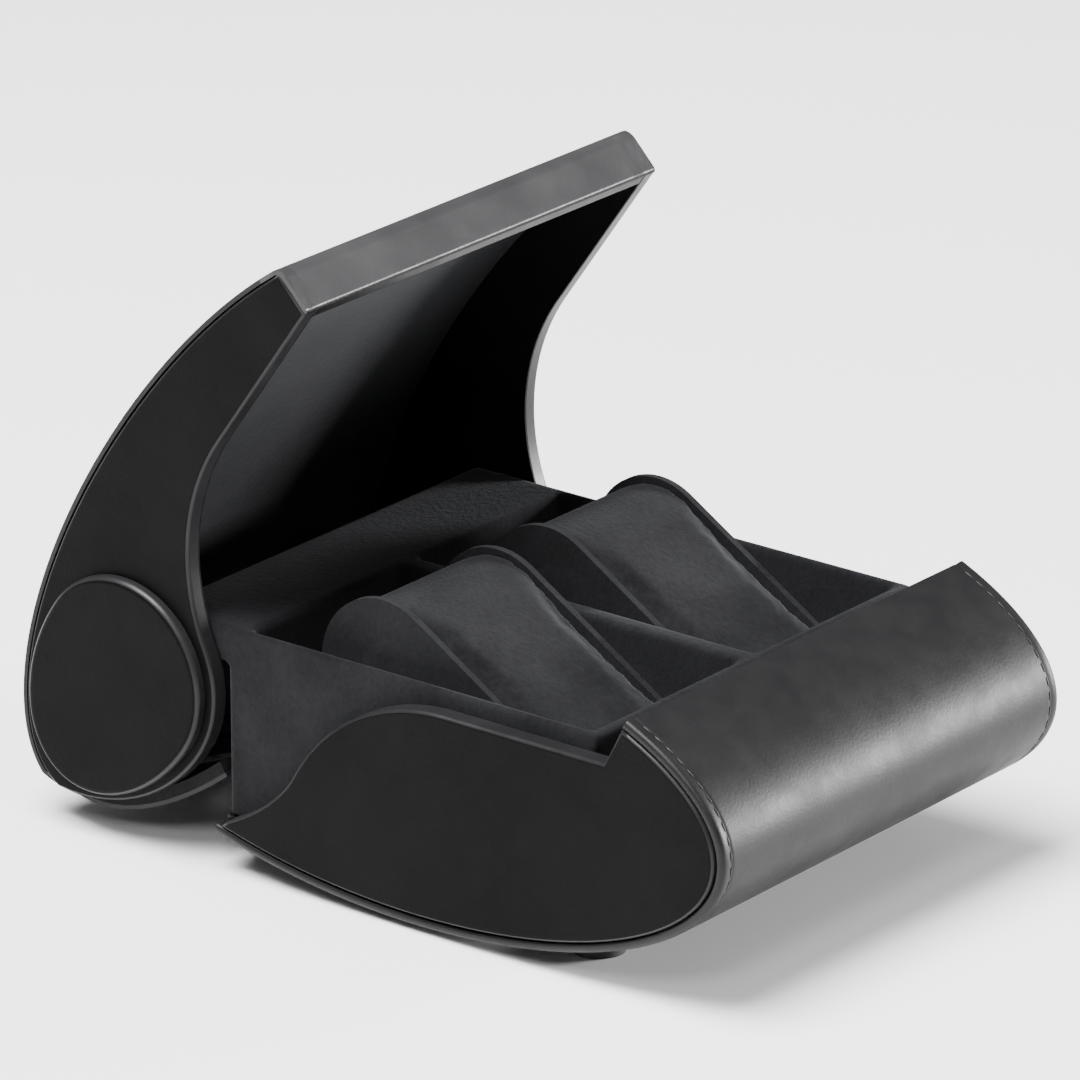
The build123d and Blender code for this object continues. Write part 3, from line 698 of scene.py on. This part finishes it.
def wrapped(name, bm, voxel, rounds):
    mesh = bpy.data.meshes.new(name)
    bm.to_mesh(mesh)
    bm.free()
    skin = bpy.data.objects.new(name, mesh)
    scene.collection.objects.link(skin)
    net = skin.modifiers.new("skin", "REMESH")
    net.mode, net.voxel_size = "VOXEL", voxel
    ease = skin.modifiers.new("ease", "SMOOTH")
    ease.factor, ease.iterations = 0.5, rounds
    apply_modifiers(skin)
    return skin


def apply_modifiers(made):
    bpy.context.view_layer.update()
    done = made.evaluated_get(bpy.context.evaluated_depsgraph_get())
    mesh = bpy.data.meshes.new_from_object(done)
    made.modifiers.clear()
    made.data = mesh


def dress(made, body, finish, slot, *nodes):
    made.data.materials.clear()
    made.data.materials.append(finish)
    made.data.shade_smooth()
    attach(made, body)
    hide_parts(*nodes)
    print(f"{made.name}: {len(made.data.polygons)} faces")


tray_nodes = [n for n in frame["nodes"] if n.startswith("tray_") and "bearer" not in n]
boards = node_copy(*tray_nodes)
tray = wrapped("suede_tray", boards, TRAY_VOXEL, 3)
dress(tray, "base", suede, "suede", *tray_nodes)

# %% [markdown]
# A watch cushion is foam in a suede wrap, with a flat panel sewn in at each end. It starts as the foam's
# own shape, a little small. Cloth simulation then blows it up by a millimetre or so, which crowns its
# faces between the seams. The seams come last: a fine welt that follows the edge of each end panel.

# %% Cushions
CUSHION_VOXEL = 1.5 * MM
CUSHION_SWELL = 1.1 * MM
WELT = 0.55 * MM
PANEL_PROUD = 1.2 * MM


def end_panel(name, sign):
    """The flat panel at one end of a cushion. Its round rim is the welt, and its middle lies deeper."""
    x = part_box(name)[1 if sign > 0 else 0].x
    bm = template(name, x)
    low, high = (Vector(map(pick, zip(*(v.co for v in bm.verts)))) for pick in (min, max))
    middle, size = (low + high) / 2, high - low
    grow = Vector((1, 1 + 2 * PANEL_PROUD / size.y, 1 + 2 * PANEL_PROUD / size.z))
    bmesh.ops.scale(bm, vec=grow, verts=bm.verts, space=Matrix.Translation(-middle))
    flat = bm.faces[:]
    bmesh.ops.inset_region(bm, faces=flat, thickness=2.2 * WELT, depth=0)
    bmesh.ops.translate(bm, verts=list({v for f in flat for v in f.verts}), vec=(-sign * 0.6 * WELT, 0, 0))
    rim = bmesh.ops.extrude_edge_only(bm, edges=[e for e in bm.edges if e.is_boundary])["geom"]
    back = [g for g in rim if isinstance(g, bmesh.types.BMVert)]
    bmesh.ops.translate(bm, verts=back, vec=(-sign * 3 * WELT, 0, 0))
    bmesh.ops.holes_fill(bm, edges=[e for e in bm.edges if e.is_boundary])
    bmesh.ops.recalc_face_normals(bm, faces=bm.faces)
    return soften(bm, WELT, 4, sharp=50, where=at_x(x))


def swollen(made, most, strength=4.0, frames=20):
    """Blows a closed piece up like cloth, and holds every point to a farthest distance."""
    start = [v.co.copy() for v in made.data.vertices]
    cloth = made.modifiers.new("cloth", "CLOTH")
    cloth.settings.use_pressure = True
    cloth.settings.uniform_pressure_force = strength
    cloth.settings.effector_weights.gravity = 0
    cloth.point_cache.frame_start, cloth.point_cache.frame_end = 1, frames
    for step in range(1, frames + 1):
        scene.frame_set(step)
    apply_modifiers(made)
    scene.frame_set(1)
    for v, was in zip(made.data.vertices, start):
        moved = v.co - was
        if moved.length > most:
            v.co = was + moved.normalized() * most


for side in ("left", "right"):
    pad = wrapped(f"watch_cushion_{side}", node_copy(f"cushion_{side}_foam"), CUSHION_VOXEL, 4)
    swollen(pad, CUSHION_SWELL)
    rounder = pad.modifiers.new("rounder", "SUBSURF")
    rounder.levels = rounder.render_levels = 1
    apply_modifiers(pad)
    nodes = [f"cushion_{side}_{layer}" for layer in ("foam", "wrap", "ends")]
    dress(pad, f"cushion_{side}", suede, "suede", *nodes)
    for end, towards in (("outer", -1 if side == "left" else 1), ("inner", 1 if side == "left" else -1)):
        panel = end_panel(f"cushion_{side}_ends", towards)
        piece(panel, f"cushion_{side}_{end}_panel", f"cushion_{side}", suede, "suede")

# %% [markdown]
# The pieces that are left keep the frame's own shape: the hinges in steel, the feet in rubber, and the
# boards inside, which are dyed dark so that a raw edge never shows.

# %% The pieces that keep their own shape
for name, node in frame["nodes"].items():
    if node.hide_render:
        continue
    finish = steel if name.startswith("hinge") else rubber if name.startswith("foot") else board
    node.data.materials.clear()
    node.data.materials.append(finish)
print("carried over:", [n for n, node in frame["nodes"].items() if not node.hide_render])

# %% [markdown]
# The box stands on a pale floor under four soft lamps, as in a small product studio.

# %% Floor, lamps and camera
def lamp(name, at, aim, size, power, tint=(1, 1, 1)):
    light = bpy.data.lights.new(name, "AREA")
    light.shape, light.size, light.size_y = "RECTANGLE", *size
    light.energy, light.color = power, tint
    lamp_object = bpy.data.objects.new(name, light)
    scene.collection.objects.link(lamp_object)
    lamp_object.location = at
    lamp_object.rotation_euler = (Vector(aim) - Vector(at)).to_track_quat("-Z", "Y").to_euler()


def studio_floor():
    bm = bmesh.new()
    bmesh.ops.create_circle(bm, cap_ends=True, segments=96, radius=6.0)
    mesh = bpy.data.meshes.new("studio_floor")
    bm.to_mesh(mesh)
    bm.free()
    floor = bpy.data.objects.new("studio_floor", mesh)
    scene.collection.objects.link(floor)
    finish, tree, shader, place = new_finish("pale floor")
    pale = shades(tree, clouds(tree, place, 0.4), (0.86, 0.86, 0.86), (0.88, 0.88, 0.88))
    tree.links.new(pale, shader.inputs["Base Color"])
    shader.inputs["Roughness"].default_value = 0.9
    mesh.materials.append(finish)


studio_floor()
world = bpy.data.worlds.new("studio")
world.use_nodes = True
world.node_tree.nodes["Background"].inputs["Color"].default_value = (1, 1, 1, 1)
world.node_tree.nodes["Background"].inputs["Strength"].default_value = 0.2
scene.world = world
lamp("nose light", (1.30, -0.95, 0.24), (0, -0.05, 0.06), (0.5, 0.3), 62)
lamp("front light", (-0.85, -0.55, 0.95), (0, 0, 0.05), (0.3, 0.3), 5)
lamp("lip light", (0.95, -0.45, 0.95), (0, 0, 0.08), (0.4, 0.25), 0.5)
lamp("top light", (-0.5, 0.2, 1.75), (0, 0, 0), (1.1, 1.1), 150)

AZIMUTH, ELEVATION, AWAY = radians(-51.787), radians(20.743), 1.955
aim = Vector((0, -0.0006, 0.0681))
back = Vector((sin(AZIMUTH) * cos(ELEVATION), -cos(AZIMUTH) * cos(ELEVATION), sin(ELEVATION)))
view = bpy.data.cameras.new("camera")
view.lens, view.sensor_width = 303.4, 36.0
camera = bpy.data.objects.new("camera", view)
scene.collection.objects.link(camera)
camera.location = aim + back * AWAY
camera.rotation_euler = back.to_track_quat("Z", "Y").to_euler()
scene.camera = camera
print("camera at", [round(c, 4) for c in camera.location])
